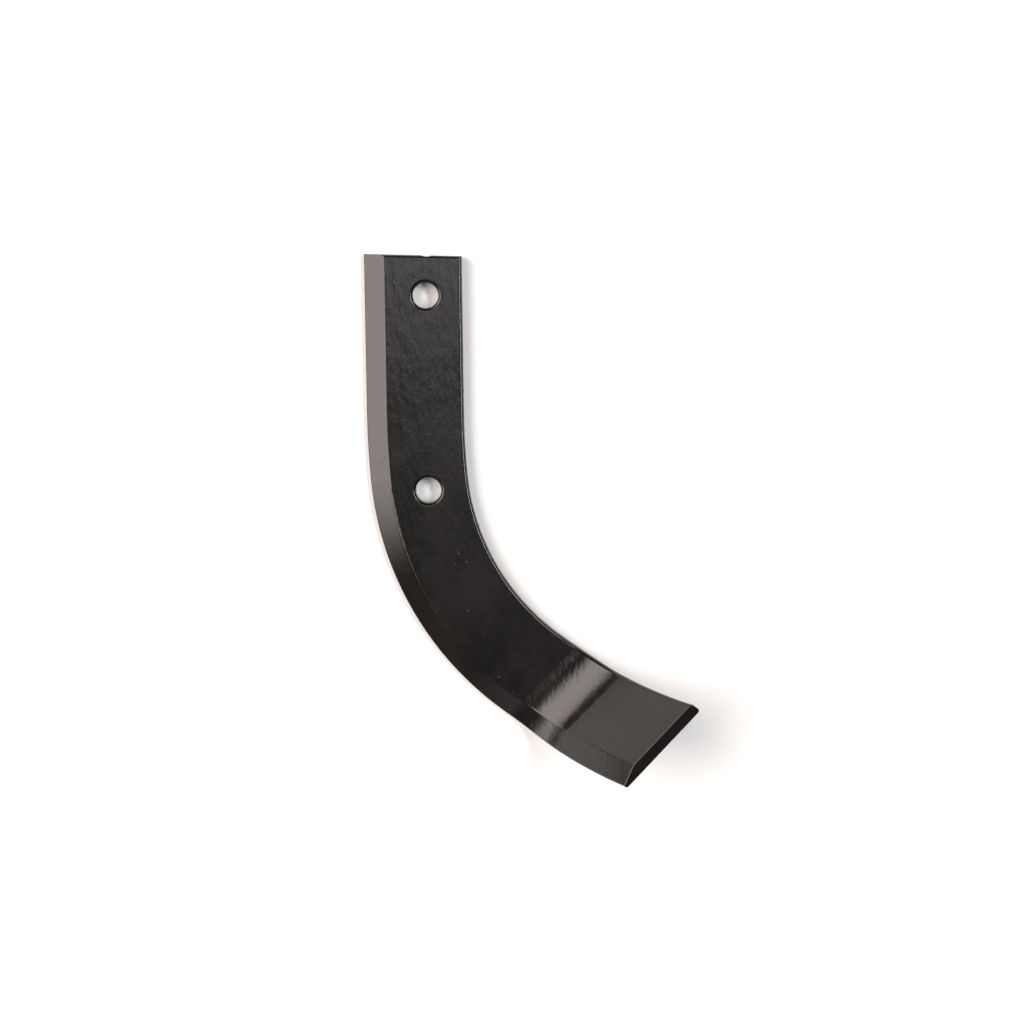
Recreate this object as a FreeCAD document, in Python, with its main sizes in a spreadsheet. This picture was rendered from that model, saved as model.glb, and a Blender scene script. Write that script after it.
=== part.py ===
"""Rotary tiller blade, one forged piece of flat spring steel, in millimetres.

A flat bar is bevelled along one long edge and punched for two bolts.  It is curved
edgewise like a sickle and then folded flatwise near its end, so that the tip leaves the
plane of the shank.  One cross-section runs the whole length:

    straight shank -> easing arc -> main arc -> tail arc -> flatwise bend -> tip

The flat length is one sweep of the section along the bar's middle line.  The bend line
crosses the bar at a skew, so the bend and the tip are lofts through sections that stand
square to the plate along lines parallel to it, each as wide there as the curved bar is.

Frame: the back of the shank lies on the plane Z = 0 and the bevelled face looks to +Z.
The bolt holes lie on the Y axis, either side of the origin, and the shank runs to -Y.
"""
import FreeCAD, Part

import math
import os

import Sketcher
from FreeCAD import Vector

NODE = "tiller_blade"

SIZES = [
    # the bar's section, with the bevel on its outer edge
    ("bar_width", 40.0),
    ("bar_thickness", 6.0),
    ("bevel_width", 8.4),
    ("land_height", 2.0),
    ("nose_radius", 0.8),
    ("ridge_radius", 1.5),
    ("edge_radius", 1.5),
    # bolt holes, and where they lie in the bar
    ("hole_spacing", 80.0),
    ("hole_size", 10.5),
    ("hole_to_edge", 15.0),
    ("hole_to_end", 16.3),
    ("rim_radius", 1.4),
    # the sheared mounting end: out of square, rolled over by the shear, and nicked
    ("end_slope", 2.0),
    ("end_roll", 1.3),
    ("nick_offset", 0.5),
    ("nick_width", 4.2),
    ("nick_depth", 0.5),
    # edgewise curve: radii of the bar's middle line, and the angles that it turns
    ("straight_below", 7.5),
    ("ease_radius", 335.0),
    ("ease_turn", 4.7),
    ("curve_radius", 114.0),
    ("curve_turn", 48.6),
    ("tail_radius", 290.0),
    # flatwise bend: its line is `tail_lead` past the main arc, `bend_skew` off square, and
    # bending has spread the outer edge by `edge_spread`
    ("tail_lead", 5.0),
    ("bend_skew", 9.3),
    ("bend_radius", 26.0),
    ("bend_turn", 52.0),
    ("edge_spread", 0.35),
    # the tip, measured along the middle line of the flat bar from the bend line, and its
    # end, which the cut leaves out of square across the plate and through it
    ("tip_reach", 68.9),
    ("cut_skew", 2.1),
    ("cut_lean", 7.0),
    ("tip_round", 0.5),
]

# What follows from the sizes.  The middle line starts down -Y and turns towards +X about
# the centres (ease), (curve) and (tail), and crosses the bend line at the point (line).
LAYOUT = [
    ("middle_x", "Sizes.hole_to_edge - Sizes.bar_width / 2"),
    ("end_y", "Sizes.hole_spacing / 2 + Sizes.hole_to_end"),
    ("spare", "Sizes.bar_width / 4"),
    ("nick_radius", "(Sizes.nick_width ^ 2 / 4 + Sizes.nick_depth ^ 2) / Sizes.nick_depth / 2"),
    ("ease_x", "middle_x + Sizes.ease_radius"),
    ("ease_step", "Sizes.ease_radius - Sizes.curve_radius"),
    ("tail_step", "Sizes.tail_radius - Sizes.curve_radius"),
    ("curve_x", "ease_x - ease_step * cos(Sizes.ease_turn)"),
    ("curve_y", "-Sizes.straight_below - ease_step * sin(Sizes.ease_turn)"),
    ("curve_end", "Sizes.ease_turn + Sizes.curve_turn"),
    ("tail_x", "curve_x + tail_step * cos(curve_end)"),
    ("tail_y", "curve_y + tail_step * sin(curve_end)"),
    ("tail_turn", "(Sizes.tail_lead + spare) / Sizes.tail_radius * 180 / pi"),
    ("line_turn", "curve_end + Sizes.tail_lead / Sizes.tail_radius * 180 / pi"),
    ("line_x", "tail_x - Sizes.tail_radius * cos(line_turn)"),
    ("line_y", "tail_y - Sizes.tail_radius * sin(line_turn)"),
    ("line_way", "line_turn - Sizes.bend_skew"),
    ("back_radius", "Sizes.bend_radius + Sizes.bar_thickness"),
    ("neutral_radius", "Sizes.bend_radius + Sizes.bar_thickness / 2"),
    ("bend_run", "neutral_radius * Sizes.bend_turn * pi / 180"),
    # where the back of the tip leaves the bend: beyond the bend line, and up
    ("tip_out", "back_radius * sin(Sizes.bend_turn)"),
    ("tip_up", "back_radius * (1 - cos(Sizes.bend_turn))"),
    # the flat bar seen from the bend line: the tail arc's centre, and the edges' radii
    ("across", "Sizes.tail_radius * cos(Sizes.bend_skew)"),
    ("past", "Sizes.tail_radius * sin(Sizes.bend_skew)"),
    ("outer_radius", "Sizes.tail_radius + Sizes.bar_width / 2"),
    ("ridge_line", "outer_radius - Sizes.bevel_width"),
    ("inner_radius", "Sizes.tail_radius - Sizes.bar_width / 2"),
    # where the middle line meets the end cut: across the tip plate, and along it
    ("cut_turn", "Sizes.bend_skew + Sizes.tip_reach / Sizes.tail_radius * 180 / pi"),
    ("cut_across", "across - Sizes.tail_radius * cos(cut_turn)"),
    ("cut_run", "Sizes.tail_radius * sin(cut_turn) - past - bend_run"),
]

# Sections that each loft passes through, after the face that it starts from.
BEND_STEPS = 6
TIP_STEPS = 3

doc = FreeCAD.newDocument("TillerBlade")

sheet = doc.addObject("Spreadsheet::Sheet", "Sizes")
for row, (alias, value) in enumerate(SIZES, start=1):
    sheet.set("A%d" % row, alias)
    sheet.set("B%d" % row, "%g" % value)
    sheet.setAlias("B%d" % row, alias)
doc.recompute()

layout = doc.addObject("App::VarSet", "Layout")
for name, formula in LAYOUT:
    layout.addProperty("App::PropertyFloat", name)
    layout.setExpression(name, formula)
doc.recompute()

body = doc.addObject("PartDesign::Body", "Blade")
body.Label = NODE
body.Placement = FreeCAD.Placement()
base_plane = [item for item in body.Origin.OriginFeatures if item.Role == "XY_Plane"][0]


def value_of(expression):
    """The number that an expression has now."""
    return float(layout.evalExpression(expression))


def at(x, y, z="0", yaw="0", roll="0", spin="0"):
    """A place as an expression: a point, a turn about Z, then about X, then in plane."""
    turn = "rotation(%s; 0; %s) * rotation(%s; 0; 0)" % (yaw, roll, spin)
    return "placement(vector(%s; %s; %s); %s)" % (x, y, z, turn)


def new_sketch(name, place=at("0", "0")):
    """A sketch carried from the body's XY plane to its place."""
    sketch = body.newObject("Sketcher::SketchObject", name)
    sketch.AttachmentSupport = [(base_plane, "")]
    sketch.MapMode = "FlatFace"
    sketch.setExpression("AttachmentOffset", place)
    return sketch


def rule(sketch, kind, *geometry):
    """A geometric constraint."""
    sketch.addConstraint(Sketcher.Constraint(kind, *geometry))


def tie(sketch, kind, expression, *geometry):
    """A dimension that follows an expression."""
    value = value_of(expression)
    if kind == "Angle":
        value = math.radians(value)
        expression = "(%s) * 1 deg" % expression
    index = sketch.addConstraint(Sketcher.Constraint(kind, *geometry, value))
    sketch.setExpression("Constraints[%d]" % index, expression)


def add_line(sketch, first, last):
    """A line between two points of the sketch's plane."""
    return sketch.addGeometry(Part.LineSegment(Vector(*first), Vector(*last)))


def add_arc(sketch, centre, radius, start, end):
    """An arc about a centre, from one angle to another, in radians."""
    circle = Part.Circle(Vector(*centre), Vector(0, 0, 1), radius)
    return sketch.addGeometry(Part.ArcOfCircle(circle, start, end))


def cut(name, sketch):
    """A pocket through the whole body, checked to have taken something away."""
    doc.recompute()
    before = body.Shape.Volume
    pocket = body.newObject("PartDesign::Pocket", name)
    pocket.Profile = sketch
    pocket.Type = "ThroughAll"
    pocket.Midplane = True
    doc.recompute()
    if not pocket.Shape.Volume < before:
        raise RuntimeError(name + " cuts nothing")
    return pocket


def face_through(feature, point, outward):
    """The name of the flat face that passes through a point and faces outward."""
    for i, face in enumerate(feature.Shape.Faces, start=1):
        if not isinstance(face.Surface, Part.Plane):
            continue
        off = abs((face.CenterOfMass - point).dot(outward))
        if off < 0.01 and face.normalAt(0, 0).dot(outward) > 0.999:
            return "Face%d" % i
    raise RuntimeError("no flat face there")


# ---- the bar's section -----------------------------------------------------------

CORNER_RADII = ["nose_radius", "edge_radius", "edge_radius", "ridge_radius", "nose_radius"]


def bar_section(name, place, outer, ridge, inner):
    """The section with its back on the X axis: a flat bar whose face falls away in a
    bevel from `ridge` to a blunt land at `outer`, with every corner rounded."""
    sketch = new_sketch(name, place)
    thick = sheet.bar_thickness
    low, high, far = value_of(outer), value_of(ridge), value_of(inner)
    points = [Vector(low, 0), Vector(far, 0), Vector(far, thick), Vector(high, thick)]
    points.append(Vector(low, sheet.land_height))
    count = len(points)
    arcs = []
    for i, corner in enumerate(points):
        radius = getattr(sheet, CORNER_RADII[i])
        back = (points[i - 1] - corner).normalize()
        ahead = (points[(i + 1) % count] - corner).normalize()
        half = back.getAngle(ahead) / 2
        centre = corner + (back + ahead).normalize() * (radius / math.sin(half))
        first = corner + back * (radius / math.tan(half))
        last = corner + ahead * (radius / math.tan(half))
        arcs.append((centre, radius, first, last))
    for i in range(count):
        add_line(sketch, arcs[i][3], arcs[(i + 1) % count][2])
    for centre, radius, first, last in arcs:
        start = math.atan2(first.y - centre.y, first.x - centre.x)
        end = math.atan2(last.y - centre.y, last.x - centre.x)
        add_arc(sketch, centre, radius, start, end)
    back, side, face, bevel, land = range(count)
    for i in range(count):
        rule(sketch, "Tangent", (i - 1) % count, 2, count + i, 1)
        rule(sketch, "Tangent", count + i, 2, i, 1)
    rule(sketch, "PointOnObject", back, 1, -1)
    rule(sketch, "Horizontal", back)
    rule(sketch, "Horizontal", face)
    rule(sketch, "Vertical", side)
    rule(sketch, "Vertical", land)
    # The sharp corners at both ends of the bevel, which its sizes are measured to.
    top = sketch.addGeometry(Part.Point(points[3]), True)
    foot = sketch.addGeometry(Part.Point(points[4]), True)
    rule(sketch, "PointOnObject", top, 1, face)
    rule(sketch, "PointOnObject", top, 1, bevel)
    rule(sketch, "PointOnObject", foot, 1, land)
    rule(sketch, "PointOnObject", foot, 1, bevel)
    tie(sketch, "DistanceX", inner, -1, 1, side, 1)
    tie(sketch, "DistanceX", ridge, -1, 1, top, 1)
    tie(sketch, "DistanceX", outer, -1, 1, foot, 1)
    tie(sketch, "DistanceY", "Sizes.bar_thickness", -1, 1, top, 1)
    tie(sketch, "DistanceY", "Sizes.land_height", -1, 1, foot, 1)
    for i, alias in enumerate(CORNER_RADII):
        tie(sketch, "Radius", "Sizes." + alias, count + i)
    return sketch


# ---- the flat bar, a little long at both ends -------------------------------------

middle = new_sketch("MiddleLine")
bottom = -sheet.straight_below
add_line(middle, (layout.middle_x, layout.end_y + layout.spare), (layout.middle_x, bottom))
rule(middle, "Vertical", 0)
tie(middle, "DistanceX", "Layout.middle_x", -1, 1, 0, 2)
tie(middle, "DistanceY", "-Sizes.straight_below", -1, 1, 0, 2)
tie(middle, "DistanceY", "Layout.end_y + Layout.spare", -1, 1, 0, 1)
heading = math.pi
for number, (centre, radius, turn) in enumerate(
    [
        ((layout.ease_x, bottom), "Sizes.ease_radius", "Sizes.ease_turn"),
        ((layout.curve_x, layout.curve_y), "Sizes.curve_radius", "Sizes.curve_turn"),
        ((layout.tail_x, layout.tail_y), "Sizes.tail_radius", "Layout.tail_turn"),
    ],
    start=1,
):
    reached = heading + math.radians(value_of(turn))
    add_arc(middle, centre, value_of(radius), heading, reached)
    rule(middle, "Tangent", number - 1, 2, number, 1)
    tie(middle, "Radius", radius, number)
    tie(middle, "Angle", turn, number)
    heading = reached

section = bar_section(
    "BarSection",
    at("Layout.middle_x", "Layout.end_y + Layout.spare", roll="90"),
    "-Sizes.bar_width / 2",
    "Sizes.bevel_width - Sizes.bar_width / 2",
    "Sizes.bar_width / 2",
)
doc.recompute()
bar = body.newObject("PartDesign::AdditivePipe", "FlatBar")
bar.Profile = section
bar.Spine = (middle, ["Edge%d" % i for i in (1, 2, 3, 4)])
bar.Mode = "Binormal"
bar.Binormal = Vector(0, 0, 1)
doc.recompute()


def trim_line(name, place):
    """A rectangle that covers all beyond its own X axis, on the -Y side."""
    sketch = new_sketch(name, place)
    far = sheet.bar_width
    corners = [(-far, -far), (far, -far), (far, 0), (-far, 0)]
    for i, corner in enumerate(corners):
        add_line(sketch, corner, corners[(i + 1) % 4])
    for i in range(4):
        rule(sketch, "Coincident", i, 2, (i + 1) % 4, 1)
        rule(sketch, ("Horizontal", "Vertical")[i % 2], i)
    rule(sketch, "PointOnObject", 2, 2, -1)
    tie(sketch, "DistanceX", "-Sizes.bar_width", -1, 1, 0, 1)
    tie(sketch, "DistanceY", "-Sizes.bar_width", -1, 1, 0, 1)
    tie(sketch, "DistanceX", "Sizes.bar_width", -1, 1, 1, 1)
    return sketch


# ---- the flatwise bend ------------------------------------------------------------

# Directions along the bend line and out beyond it, then out along the raised tip.
way = math.radians(layout.line_way)
raised = math.radians(sheet.bend_turn)
along = Vector(math.cos(way), math.sin(way), 0)
beyond = Vector(math.sin(way), -math.cos(way), 0)
tip_way = beyond * math.cos(raised) + Vector(0, 0, math.sin(raised))
bend_start = Vector(layout.line_x, layout.line_y, 0)
tip_start = bend_start + beyond * layout.tip_out + Vector(0, 0, layout.tip_up)


def raised_at(out, up, roll, across="0", spin="0"):
    """A place `out` beyond the bend line, `up` above the back, `across` along it."""
    x_parts = (out, across)
    return at(
        "Layout.line_x + %s * sin(Layout.line_way) + %s * cos(Layout.line_way)" % x_parts,
        "Layout.line_y - %s * cos(Layout.line_way) + %s * sin(Layout.line_way)" % x_parts,
        up,
        "Layout.line_way",
        roll,
        spin,
    )


def edges_at(run):
    """Outer edge, ridge and inner edge of the curved bar, `run` past the bend line.
    The outer edge spreads over the bend and keeps that spread along the tip."""
    edges = [
        "Layout.across - sqrt(Layout.%s ^ 2 - (%s + Layout.past) ^ 2)" % (radius, run)
        for radius in ("outer_radius", "ridge_line", "inner_radius")
    ]
    bent = "min(1; (%s) / Layout.bend_run)" % run
    edges[0] += " - Sizes.edge_spread * (1 - cos(180 * %s)) / 2" % bent
    return edges


bend_line = trim_line("BendLine", raised_at("0", "0", "0"))
stub = cut("BarToBend", bend_line)

sections = []
for step in range(1, BEND_STEPS + 1):
    turned = "Sizes.bend_turn * %d / %d" % (step, BEND_STEPS)
    place = raised_at(
        "Layout.back_radius * sin(%s)" % turned,
        "Layout.back_radius * (1 - cos(%s))" % turned,
        "90 - %s" % turned,
    )
    run = "Layout.bend_run * %d / %d" % (step, BEND_STEPS)
    sections.append(bar_section("BendSection%d" % step, place, *edges_at(run)))
doc.recompute()
bend = body.newObject("PartDesign::AdditiveLoft", "Bend")
bend.Profile = (stub, [face_through(stub, bend_start, beyond)])
bend.Sections = sections
doc.recompute()

# ---- the tip, a little long, then cut to its line ---------------------------------

sections = []
for step in range(1, TIP_STEPS + 1):
    run = "(Layout.cut_run + Layout.spare) * %d / %d" % (step, TIP_STEPS)
    place = raised_at(
        "(Layout.tip_out + %s * cos(Sizes.bend_turn))" % run,
        "Layout.tip_up + %s * sin(Sizes.bend_turn)" % run,
        "90 - Sizes.bend_turn",
    )
    edges = edges_at("Layout.bend_run + " + run)
    sections.append(bar_section("TipSection%d" % step, place, *edges))
doc.recompute()
tip = body.newObject("PartDesign::AdditiveLoft", "Tip")
tip.Profile = (bend, [face_through(bend, tip_start, tip_way)])
tip.Sections = sections
doc.recompute()

tip_line = trim_line(
    "TipLine",
    raised_at(
        "(Layout.tip_out + Layout.cut_run * cos(Sizes.bend_turn))",
        "Layout.tip_up + Layout.cut_run * sin(Sizes.bend_turn)",
        "-Sizes.bend_turn - Sizes.cut_lean",
        "Layout.cut_across",
        "Sizes.cut_skew",
    ),
)
cut("TipToLength", tip_line)

# ---- the mounting end, sheared a little out of square ------------------------------

# Side view along the cut: a square face whose top edge the shear has rolled over.
shear = new_sketch("EndShear", at("0", "Layout.end_y", "0", "90 - Sizes.end_slope", "90"))
roll, thick, spare = sheet.end_roll, sheet.bar_thickness, layout.spare
far = 2 * spare
corners = [(0, -spare), (far, -spare), (far, thick + spare), (-roll, thick + spare)]
for i in range(3):
    add_line(shear, corners[i], corners[i + 1])
add_line(shear, corners[3], (-roll, thick))
add_line(shear, (0, thick - roll), corners[0])
add_arc(shear, (-roll, thick - roll), roll, 0, math.pi / 2)
for i, kind in enumerate(["Horizontal", "Vertical", "Horizontal", "Vertical", "Vertical"]):
    rule(shear, kind, i)
for i in range(3):
    rule(shear, "Coincident", i, 2, i + 1, 1)
rule(shear, "Coincident", 4, 2, 0, 1)
rule(shear, "Coincident", 3, 2, 5, 2)
rule(shear, "Tangent", 4, 1, 5, 1)
rule(shear, "Vertical", 5, 3, 5, 2)
rule(shear, "PointOnObject", 4, 1, -2)
tie(shear, "Radius", "Sizes.end_roll", 5)
tie(shear, "DistanceY", "Sizes.bar_thickness", -1, 1, 5, 2)
tie(shear, "DistanceY", "-Layout.spare", -1, 1, 0, 1)
tie(shear, "DistanceY", "Sizes.bar_thickness + Layout.spare", -1, 1, 2, 1)
tie(shear, "DistanceX", "2 * Layout.spare", -1, 1, 1, 1)
cut("EndToLength", shear)

# A shallow nick torn out of the sheared edge.
nick_y = "Layout.end_y - Sizes.nick_offset * tan(Sizes.end_slope)"
nick = new_sketch("Nick", at("Sizes.nick_offset", nick_y, yaw="-Sizes.end_slope"))
centre = Vector(0, layout.nick_radius - sheet.nick_depth, 0)
nick.addGeometry(Part.Circle(centre, Vector(0, 0, 1), layout.nick_radius))
rule(nick, "PointOnObject", 0, 3, -2)
tie(nick, "DistanceY", "Layout.nick_radius - Sizes.nick_depth", -1, 1, 0, 3)
tie(nick, "Radius", "Layout.nick_radius", 0)
cut("EndNick", nick)

# ---- bolt holes, punched from the bevelled side, which draws their rims in ---------

bolts = new_sketch("BoltCentres")
for sign in ("", "-"):
    centre_y = sign + "Sizes.hole_spacing / 2"
    centre = Vector(0, value_of(centre_y), 0)
    index = bolts.addGeometry(Part.Circle(centre, Vector(0, 0, 1), sheet.hole_size / 2))
    rule(bolts, "PointOnObject", index, 3, -2)
    tie(bolts, "DistanceY", centre_y, -1, 1, index, 3)
    tie(bolts, "Diameter", "Sizes.hole_size", index)
doc.recompute()
before = body.Shape.Volume
holes = body.newObject("PartDesign::Hole", "BoltHoles")
holes.Profile = bolts
holes.DepthType = "ThroughAll"
holes.Reversed = True
holes.setExpression("Diameter", "Sizes.hole_size")
doc.recompute()
bored = math.pi / 2 * sheet.hole_size**2 * sheet.bar_thickness
if abs(before - holes.Shape.Volume - bored) > 0.01 * bored:
    raise RuntimeError("the bolt holes don't go through")

rims = []
for i, edge in enumerate(holes.Shape.Edges, start=1):
    if not isinstance(edge.Curve, Part.Circle):
        continue
    own = abs(edge.Curve.Radius - sheet.hole_size / 2) < 0.01
    if own and abs(edge.CenterOfMass.z - sheet.bar_thickness) < 0.01:
        rims.append("Edge%d" % i)
rim = body.newObject("PartDesign::Fillet", "RolledRims")
rim.Base = (holes, rims)
rim.setExpression("Radius", "Sizes.rim_radius")
doc.recompute()

# ---- the tip's end face, blunted all round -----------------------------------------

skew = math.radians(sheet.cut_skew)
leant = math.radians(sheet.bend_turn + sheet.cut_lean)
cut_point = tip_start + tip_way * layout.cut_run + along * layout.cut_across
cut_way = beyond * math.cos(leant) + Vector(0, 0, math.sin(leant))
cut_way = cut_way * math.cos(skew) + along * math.sin(skew)
blunt = body.newObject("PartDesign::Fillet", "BluntedTip")
blunt.Base = (rim, [face_through(rim, cut_point, cut_way)])
blunt.setExpression("Radius", "Sizes.tip_round")
doc.recompute()

# ---- checks, and the part written out ----------------------------------------------

for item in doc.Objects:
    if "Invalid" in item.State or "Error" in item.State:
        raise RuntimeError("%s failed: %s" % (item.Name, item.getStatusString()))
shape = body.Shape
if shape.isNull() or not shape.isValid() or len(shape.Solids) != 1:
    raise RuntimeError("the blade is not one valid solid")

os.makedirs("parts", exist_ok=True)
shape.exportStep("parts/%s.step" % NODE)
print("%s: %.0f cubic mm, %d faces" % (NODE, shape.Volume, len(shape.Faces)))
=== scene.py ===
# %% [markdown]
# # A rotary tiller blade
# The part is one piece of flat spring steel, so the scene has one piece too. The bar is
# bevelled along its outer edge, punched for two bolts, curved edgewise like a sickle and
# folded up near the tip, and it is dipped in gloss black paint. The solid already has each
# of those forms, so this lesson is about the paint, the light that shows it and the camera.

# %% Load the frame
import math

import bpy
from mathutils import Matrix, Vector


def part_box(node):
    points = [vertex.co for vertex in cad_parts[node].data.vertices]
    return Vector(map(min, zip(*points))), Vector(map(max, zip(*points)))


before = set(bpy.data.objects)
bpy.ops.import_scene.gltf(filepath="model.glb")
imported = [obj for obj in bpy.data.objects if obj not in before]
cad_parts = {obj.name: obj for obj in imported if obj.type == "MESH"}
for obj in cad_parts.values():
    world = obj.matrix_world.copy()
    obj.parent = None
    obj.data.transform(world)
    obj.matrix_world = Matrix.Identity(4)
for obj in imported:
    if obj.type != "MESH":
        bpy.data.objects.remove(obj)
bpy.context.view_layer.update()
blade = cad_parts["tiller_blade"]
low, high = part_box("tiller_blade")
print("the blade spans", [round(1000 * (b - a), 1) for a, b in zip(low, high)], "mm")

# %% [markdown]
# ## Two helpers for nodes
# A finish is a small network of nodes. The two helpers below add one node each, so that a
# step of the finish reads as one line: a number sets a socket, and a socket feeds it.


# %% Node helpers
def add_math(tree, operation, *values):
    """A Math node fed by numbers and sockets, as its output socket."""
    node = tree.nodes.new("ShaderNodeMath")
    node.operation = operation
    for socket, value in zip(node.inputs, values):
        if isinstance(value, (int, float)):
            socket.default_value = value
        else:
            tree.links.new(value, socket)
    return node.outputs["Value"]


def add_ramp(tree, value, start, end, low_out, high_out):
    """A smooth step of a value, from `low_out` at `start` to `high_out` at `end`."""
    node = tree.nodes.new("ShaderNodeMapRange")
    node.interpolation_type = "SMOOTHSTEP"
    tree.links.new(value, node.inputs["Value"])
    limits = {"From Min": start, "From Max": end, "To Min": low_out, "To Max": high_out}
    for name, limit in limits.items():
        if isinstance(limit, (int, float)):
            node.inputs[name].default_value = limit
        else:
            tree.links.new(limit, node.inputs[name])
    return node.outputs["Result"]


print("node helpers:", add_math.__name__, "and", add_ramp.__name__)

# %% [markdown]
# ## The paint
# The real blade is forged and heat treated, then dipped, so a thick gloss coat lies over
# steel that is never quite smooth. Three things show through the gloss: long shallow
# ripples from rolling, a fine peel in the paint itself, and a few nibs of scale and dust
# under it. The bevel and the tip were pressed against a smooth die, so they are calmer.
# All of it is relief too fine to model, so it is made with noise in Object coordinates.

# %% Where the face is rough and where it is calm
BAR_THICKNESS = 0.006
BEVEL_TOP = BAR_THICKNESS - 0.0005
FACE_LEVEL = BAR_THICKNESS - 0.0001
FOLD_LEVEL = BAR_THICKNESS + 0.008
TIP_LEVEL = BAR_THICKNESS + 0.014
BEVEL_SHARE = 0.35
TIP_SHARE = 0.22

paint = bpy.data.materials.new("gloss_black_paint")
paint.use_nodes = True
tree = paint.node_tree
shader = tree.nodes["Principled BSDF"]
place = tree.nodes.new("ShaderNodeTexCoord").outputs["Object"]
split = tree.nodes.new("ShaderNodeSeparateXYZ")
tree.links.new(place, split.inputs["Vector"])
height = split.outputs["Z"]
on_face = add_ramp(tree, height, BEVEL_TOP, FACE_LEVEL, BEVEL_SHARE, 1.0)
on_tip = add_ramp(tree, height, FOLD_LEVEL, TIP_LEVEL, 1.0, TIP_SHARE)
roughened = add_math(tree, "MULTIPLY", on_face, on_tip)
print("relief on the bevel:", BEVEL_SHARE, "and on the tip:", TIP_SHARE, "of the face's")

# %% Ripples, peel and nibs
# A stretch under 1 draws the pattern out along the shank. The nib size is a share of the
# distance from one nib to the next.
RIPPLES_PER_M = 420.0
RIPPLE_DETAIL = 2.0
RIPPLE_STRETCH = 0.35
PEEL_PER_M = 1500.0
PEEL_DETAIL = 1.0
PEEL_STRETCH = 0.6
NIBS_PER_M = 150.0
NIB_SIZE = 0.055


def add_noise(scale, detail, stretch):
    """Noise in Object coordinates, stretched along the shank."""
    mapping = tree.nodes.new("ShaderNodeMapping")
    mapping.inputs["Scale"].default_value = (1.0, stretch, 1.0)
    tree.links.new(place, mapping.inputs["Vector"])
    noise = tree.nodes.new("ShaderNodeTexNoise")
    noise.inputs["Scale"].default_value = scale
    noise.inputs["Detail"].default_value = detail
    tree.links.new(mapping.outputs["Vector"], noise.inputs["Vector"])
    return noise.outputs["Fac"]


ripples = add_noise(RIPPLES_PER_M, RIPPLE_DETAIL, RIPPLE_STRETCH)
peel = add_noise(PEEL_PER_M, PEEL_DETAIL, PEEL_STRETCH)
cells = tree.nodes.new("ShaderNodeTexVoronoi")
cells.inputs["Scale"].default_value = NIBS_PER_M
tree.links.new(place, cells.inputs["Vector"])
nibs = add_ramp(tree, cells.outputs["Distance"], 0.0, NIB_SIZE, 1.0, 0.0)
print("ripples across the bar:", round(1000 / RIPPLES_PER_M, 1), "mm apart")

# %% The relief, as heights in metres
RIPPLE_HEIGHT = 0.00010
PEEL_HEIGHT = 0.000018
NIB_HEIGHT = 0.00012

relief = add_math(tree, "MULTIPLY", ripples, RIPPLE_HEIGHT)
relief = add_math(tree, "ADD", relief, add_math(tree, "MULTIPLY", peel, PEEL_HEIGHT))
relief = add_math(tree, "MULTIPLY", relief, roughened)
relief = add_math(tree, "ADD", relief, add_math(tree, "MULTIPLY", nibs, NIB_HEIGHT))
bump = tree.nodes.new("ShaderNodeBump")
bump.inputs["Strength"].default_value = 1.0
bump.inputs["Distance"].default_value = 1.0
tree.links.new(relief, bump.inputs["Height"])
tree.links.new(bump.outputs["Normal"], shader.inputs["Normal"])
print("relief:", round(1e6 * RIPPLE_HEIGHT), "micron ripples under a gloss coat")

# %% [markdown]
# ## Colour and gloss
# Black paint isn't one flat black. The coat is thinner in places, where a little brown of
# the steel comes through, and dust dulls the gloss in soft patches. Both are faint, and
# both follow one broad noise, so the eye reads them as a real coat and not as a pattern.

# %% Colour and gloss
# A ramp's two limits are the noise values at which it starts and ends.
THIN_COAT = (0.0115, 0.0102, 0.0095, 1.0)
THICK_COAT = (0.0078, 0.0072, 0.0069, 1.0)
COAT_LIMITS = (0.35, 0.70)
GLOSS_ROUGHNESS = 0.11
DULL_ROUGHNESS = 0.19
DULL_LIMITS = (0.30, 0.75)
PATCHES_PER_M = 55.0
PATCH_DETAIL = 4.0
PATCH_STRETCH = 0.6

patches = add_noise(PATCHES_PER_M, PATCH_DETAIL, PATCH_STRETCH)
coat = tree.nodes.new("ShaderNodeMix")
coat.data_type = "RGBA"
coat.inputs["A"].default_value = THICK_COAT
coat.inputs["B"].default_value = THIN_COAT
tree.links.new(add_ramp(tree, patches, *COAT_LIMITS, 0.0, 1.0), coat.inputs["Factor"])
tree.links.new(coat.outputs["Result"], shader.inputs["Base Color"])
dull = add_ramp(tree, patches, *DULL_LIMITS, GLOSS_ROUGHNESS, DULL_ROUGHNESS)
tree.links.new(dull, shader.inputs["Roughness"])
for slot in blade.material_slots:
    slot.material = paint
print("paint on", len(blade.data.polygons), "faces")

# %% [markdown]
# ## The floor
# The blade lies on its back on plain pale paper. The paper is a matt white plane, large
# enough to fill the view, a hair below the back of the blade so the two never flicker.

# %% The floor
FLOOR_SIDE = 6.0
FLOOR_GAP = 0.0002
PAPER = (0.93, 0.93, 0.93, 1.0)
PAPER_ROUGHNESS = 0.9

bpy.ops.mesh.primitive_plane_add(size=FLOOR_SIDE, location=(0, 0, low[2] - FLOOR_GAP))
floor = bpy.context.object
floor.name = "floor"
paper = bpy.data.materials.new("pale_paper")
paper.use_nodes = True
paper_shader = paper.node_tree.nodes["Principled BSDF"]
paper_shader.inputs["Base Color"].default_value = PAPER
paper_shader.inputs["Roughness"].default_value = PAPER_ROUGHNESS
paper_shader.inputs["Specular IOR Level"].default_value = 0.0
floor.data.materials.append(paper)
print("paper:", FLOOR_SIDE, "m square,", 1000 * FLOOR_GAP, "mm below the blade")

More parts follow.
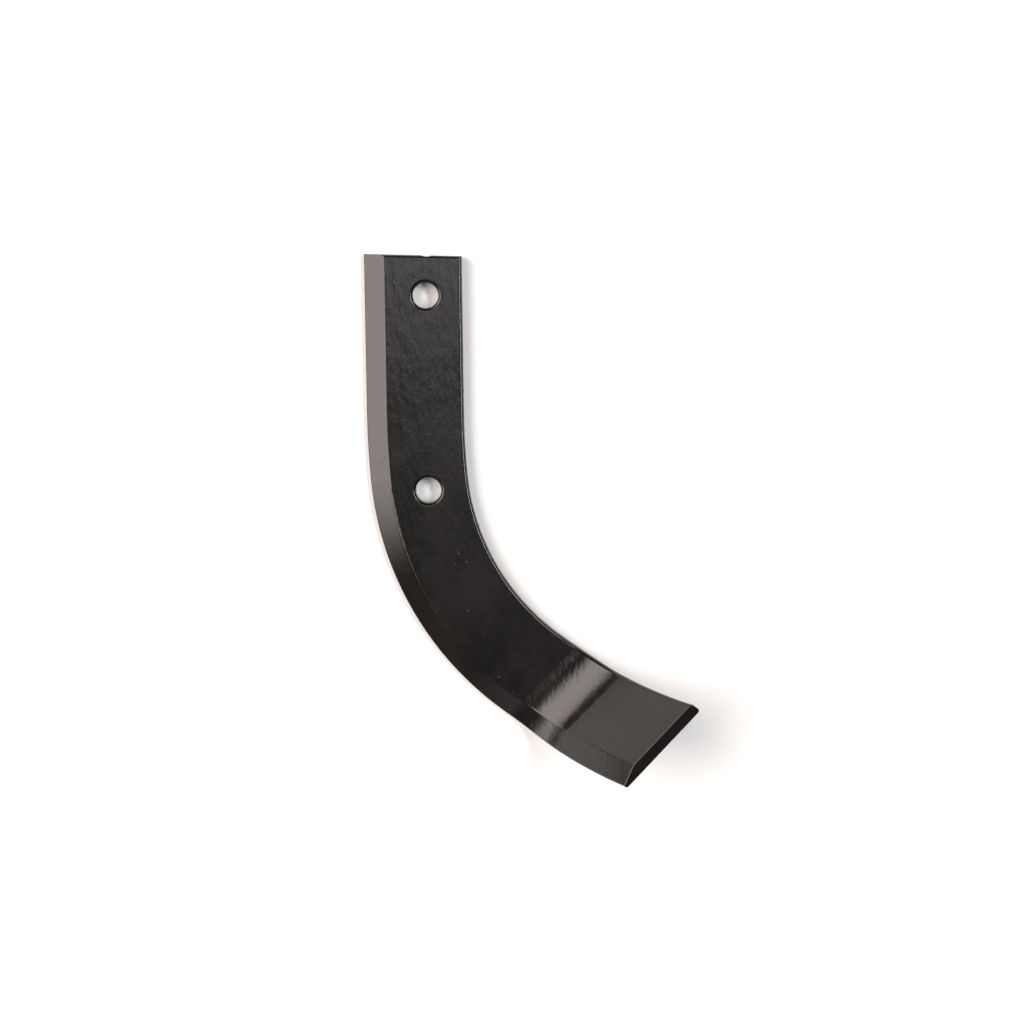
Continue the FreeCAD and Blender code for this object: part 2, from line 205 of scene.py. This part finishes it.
# %% [markdown]
# ## The studio
# Black gloss shows little of its own colour: it is drawn by what it mirrors. A studio does
# that with large soft boxes against dark walls. Here each box is a soft-edged rectangle of
# light painted on the world, so it lights the blade and is mirrored in it in the same way.
# One large warm box on the left lights the bevel and the fold. Two overhead overlap, so
# that their mirror image fades down the shank. A narrow one on the right draws the line
# along the inner edge, and two faint ones low down fill the steeper faces.


# %% One soft box, as a node group
def softbox_group():
    """Direction in, light out: bright inside a rectangle seen in a direction."""
    group = bpy.data.node_groups.new("softbox", "ShaderNodeTree")
    vectors = ("Direction", "Facing", "Sideways", "Upward")
    numbers = ("Half Width", "Half Height", "Soft Edge", "Strength")
    for name in vectors:
        group.interface.new_socket(name=name, in_out="INPUT", socket_type="NodeSocketVector")
    for name in numbers:
        group.interface.new_socket(name=name, in_out="INPUT", socket_type="NodeSocketFloat")
    group.interface.new_socket(name="Light", in_out="OUTPUT", socket_type="NodeSocketFloat")
    given = group.nodes.new("NodeGroupInput").outputs
    result = group.nodes.new("NodeGroupOutput").inputs

    def along(axis):
        node = group.nodes.new("ShaderNodeVectorMath")
        node.operation = "DOT_PRODUCT"
        group.links.new(given["Direction"], node.inputs[0])
        group.links.new(given[axis], node.inputs[1])
        return node.outputs["Value"]

    depth = along("Facing")
    light = add_math(group, "GREATER_THAN", depth, 0.0)
    for axis, half in (("Sideways", "Half Width"), ("Upward", "Half Height")):
        off = add_math(group, "ABSOLUTE", add_math(group, "DIVIDE", along(axis), depth))
        inner = add_math(group, "SUBTRACT", given[half], given["Soft Edge"])
        outer = add_math(group, "ADD", given[half], given["Soft Edge"])
        fade = add_ramp(group, off, inner, outer, 1.0, 0.0)
        light = add_math(group, "MULTIPLY", light, fade)
    group.links.new(add_math(group, "MULTIPLY", light, given["Strength"]), result["Light"])
    return group


softbox = softbox_group()
print("one soft box:", len(softbox.nodes), "nodes")

# %% The boxes and the dark room
# Each row: azimuth and elevation in degrees, half width, half height and soft edge as
# tangents from the middle of the box, strength, and colour.
SOFTBOXES = {
    "left": (166, 40, 0.52, 0.46, 0.20, 5.6, (1.0, 0.90, 0.85)),
    "left_low": (180, 12, 0.60, 0.14, 0.12, 1.1, (1.0, 0.95, 0.92)),
    "overhead_wide": (90, 81.5, 0.07, 0.225, 0.125, 1.0, (1.0, 1.0, 1.02)),
    "overhead_near": (90, 81.5, 0.12, 0.18, 0.03, 1.35, (1.0, 1.0, 1.02)),
    "right": (16, 48, 0.36, 0.07, 0.05, 24.0, (1.0, 1.0, 1.0)),
    "below_left": (-108, 28, 0.24, 0.30, 0.12, 0.45, (1.0, 0.94, 0.90)),
}
ROOM_LIGHT = (0.045, 0.043, 0.042)

world = bpy.data.worlds.new("studio")
bpy.context.scene.world = world
world.use_nodes = True
sky = world.node_tree
looking = sky.nodes.new("ShaderNodeTexCoord").outputs["Generated"]
print("the room:", ROOM_LIGHT, "with", len(SOFTBOXES), "boxes to hang")


# %% Hang one box
def hang_box(name, azimuth, elevation, wide, tall, edge, strength):
    """A soft box in the sky at an azimuth and elevation in degrees, as its light."""
    climb = math.radians(elevation)
    ahead = Vector((math.cos(climb), 0, math.sin(climb)))
    facing = Matrix.Rotation(math.radians(azimuth), 3, "Z") @ ahead
    sideways = Vector((0, 0, 1)).cross(facing).normalized()
    box = sky.nodes.new("ShaderNodeGroup")
    box.node_tree = softbox
    box.label = name
    sky.links.new(looking, box.inputs["Direction"])
    box.inputs["Facing"].default_value = facing
    box.inputs["Sideways"].default_value = sideways
    box.inputs["Upward"].default_value = facing.cross(sideways)
    box.inputs["Half Width"].default_value = wide
    box.inputs["Half Height"].default_value = tall
    box.inputs["Soft Edge"].default_value = edge
    box.inputs["Strength"].default_value = strength
    return box.outputs["Light"]


# %% Add up the light
# The first box is added to the light of the room, and each later one to the sum so far.
total = None
for name, (*measures, colour) in SOFTBOXES.items():
    glow = sky.nodes.new("ShaderNodeVectorMath")
    glow.operation = "MULTIPLY_ADD"
    glow.inputs[0].default_value = colour
    sky.links.new(hang_box(name, *measures), glow.inputs[1])
    if total is None:
        glow.inputs[2].default_value = ROOM_LIGHT
    else:
        sky.links.new(total, glow.inputs[2])
    total = glow.outputs["Vector"]
sky.links.new(total, sky.nodes["Background"].inputs["Color"])
sky.nodes["Background"].inputs["Strength"].default_value = 1.0
print("soft boxes:", ", ".join(SOFTBOXES))

# %% [markdown]
# ## The camera
# The blade is seen from almost straight above, from about a metre, a little towards the
# mounting end. The camera's axes are built from where it stands and what it looks at.

# %% The camera
CAMERA_AT = Vector((0.0356516, 0.0638590, 1.0226869))
LOOKS_AT = Vector((0.0342075, -0.0499410, 0.0))
ROLL = math.radians(0.727)
LENS_MM = 87.328
SENSOR_MM = 36.0

camera = bpy.data.objects.new("camera", bpy.data.cameras.new("camera"))
bpy.context.scene.collection.objects.link(camera)
camera.data.sensor_width = SENSOR_MM
camera.data.lens = LENS_MM
back = (CAMERA_AT - LOOKS_AT).normalized()
right = Vector((math.sin(ROLL), math.cos(ROLL), 0)).cross(back).normalized()
axes = Matrix((right, back.cross(right), back)).transposed()
camera.matrix_world = Matrix.Translation(CAMERA_AT) @ axes.to_4x4()
bpy.context.scene.camera = camera
bpy.context.scene.view_settings.view_transform = "Standard"
print("camera:", round((CAMERA_AT - LOOKS_AT).length, 3), "m from what it looks at")
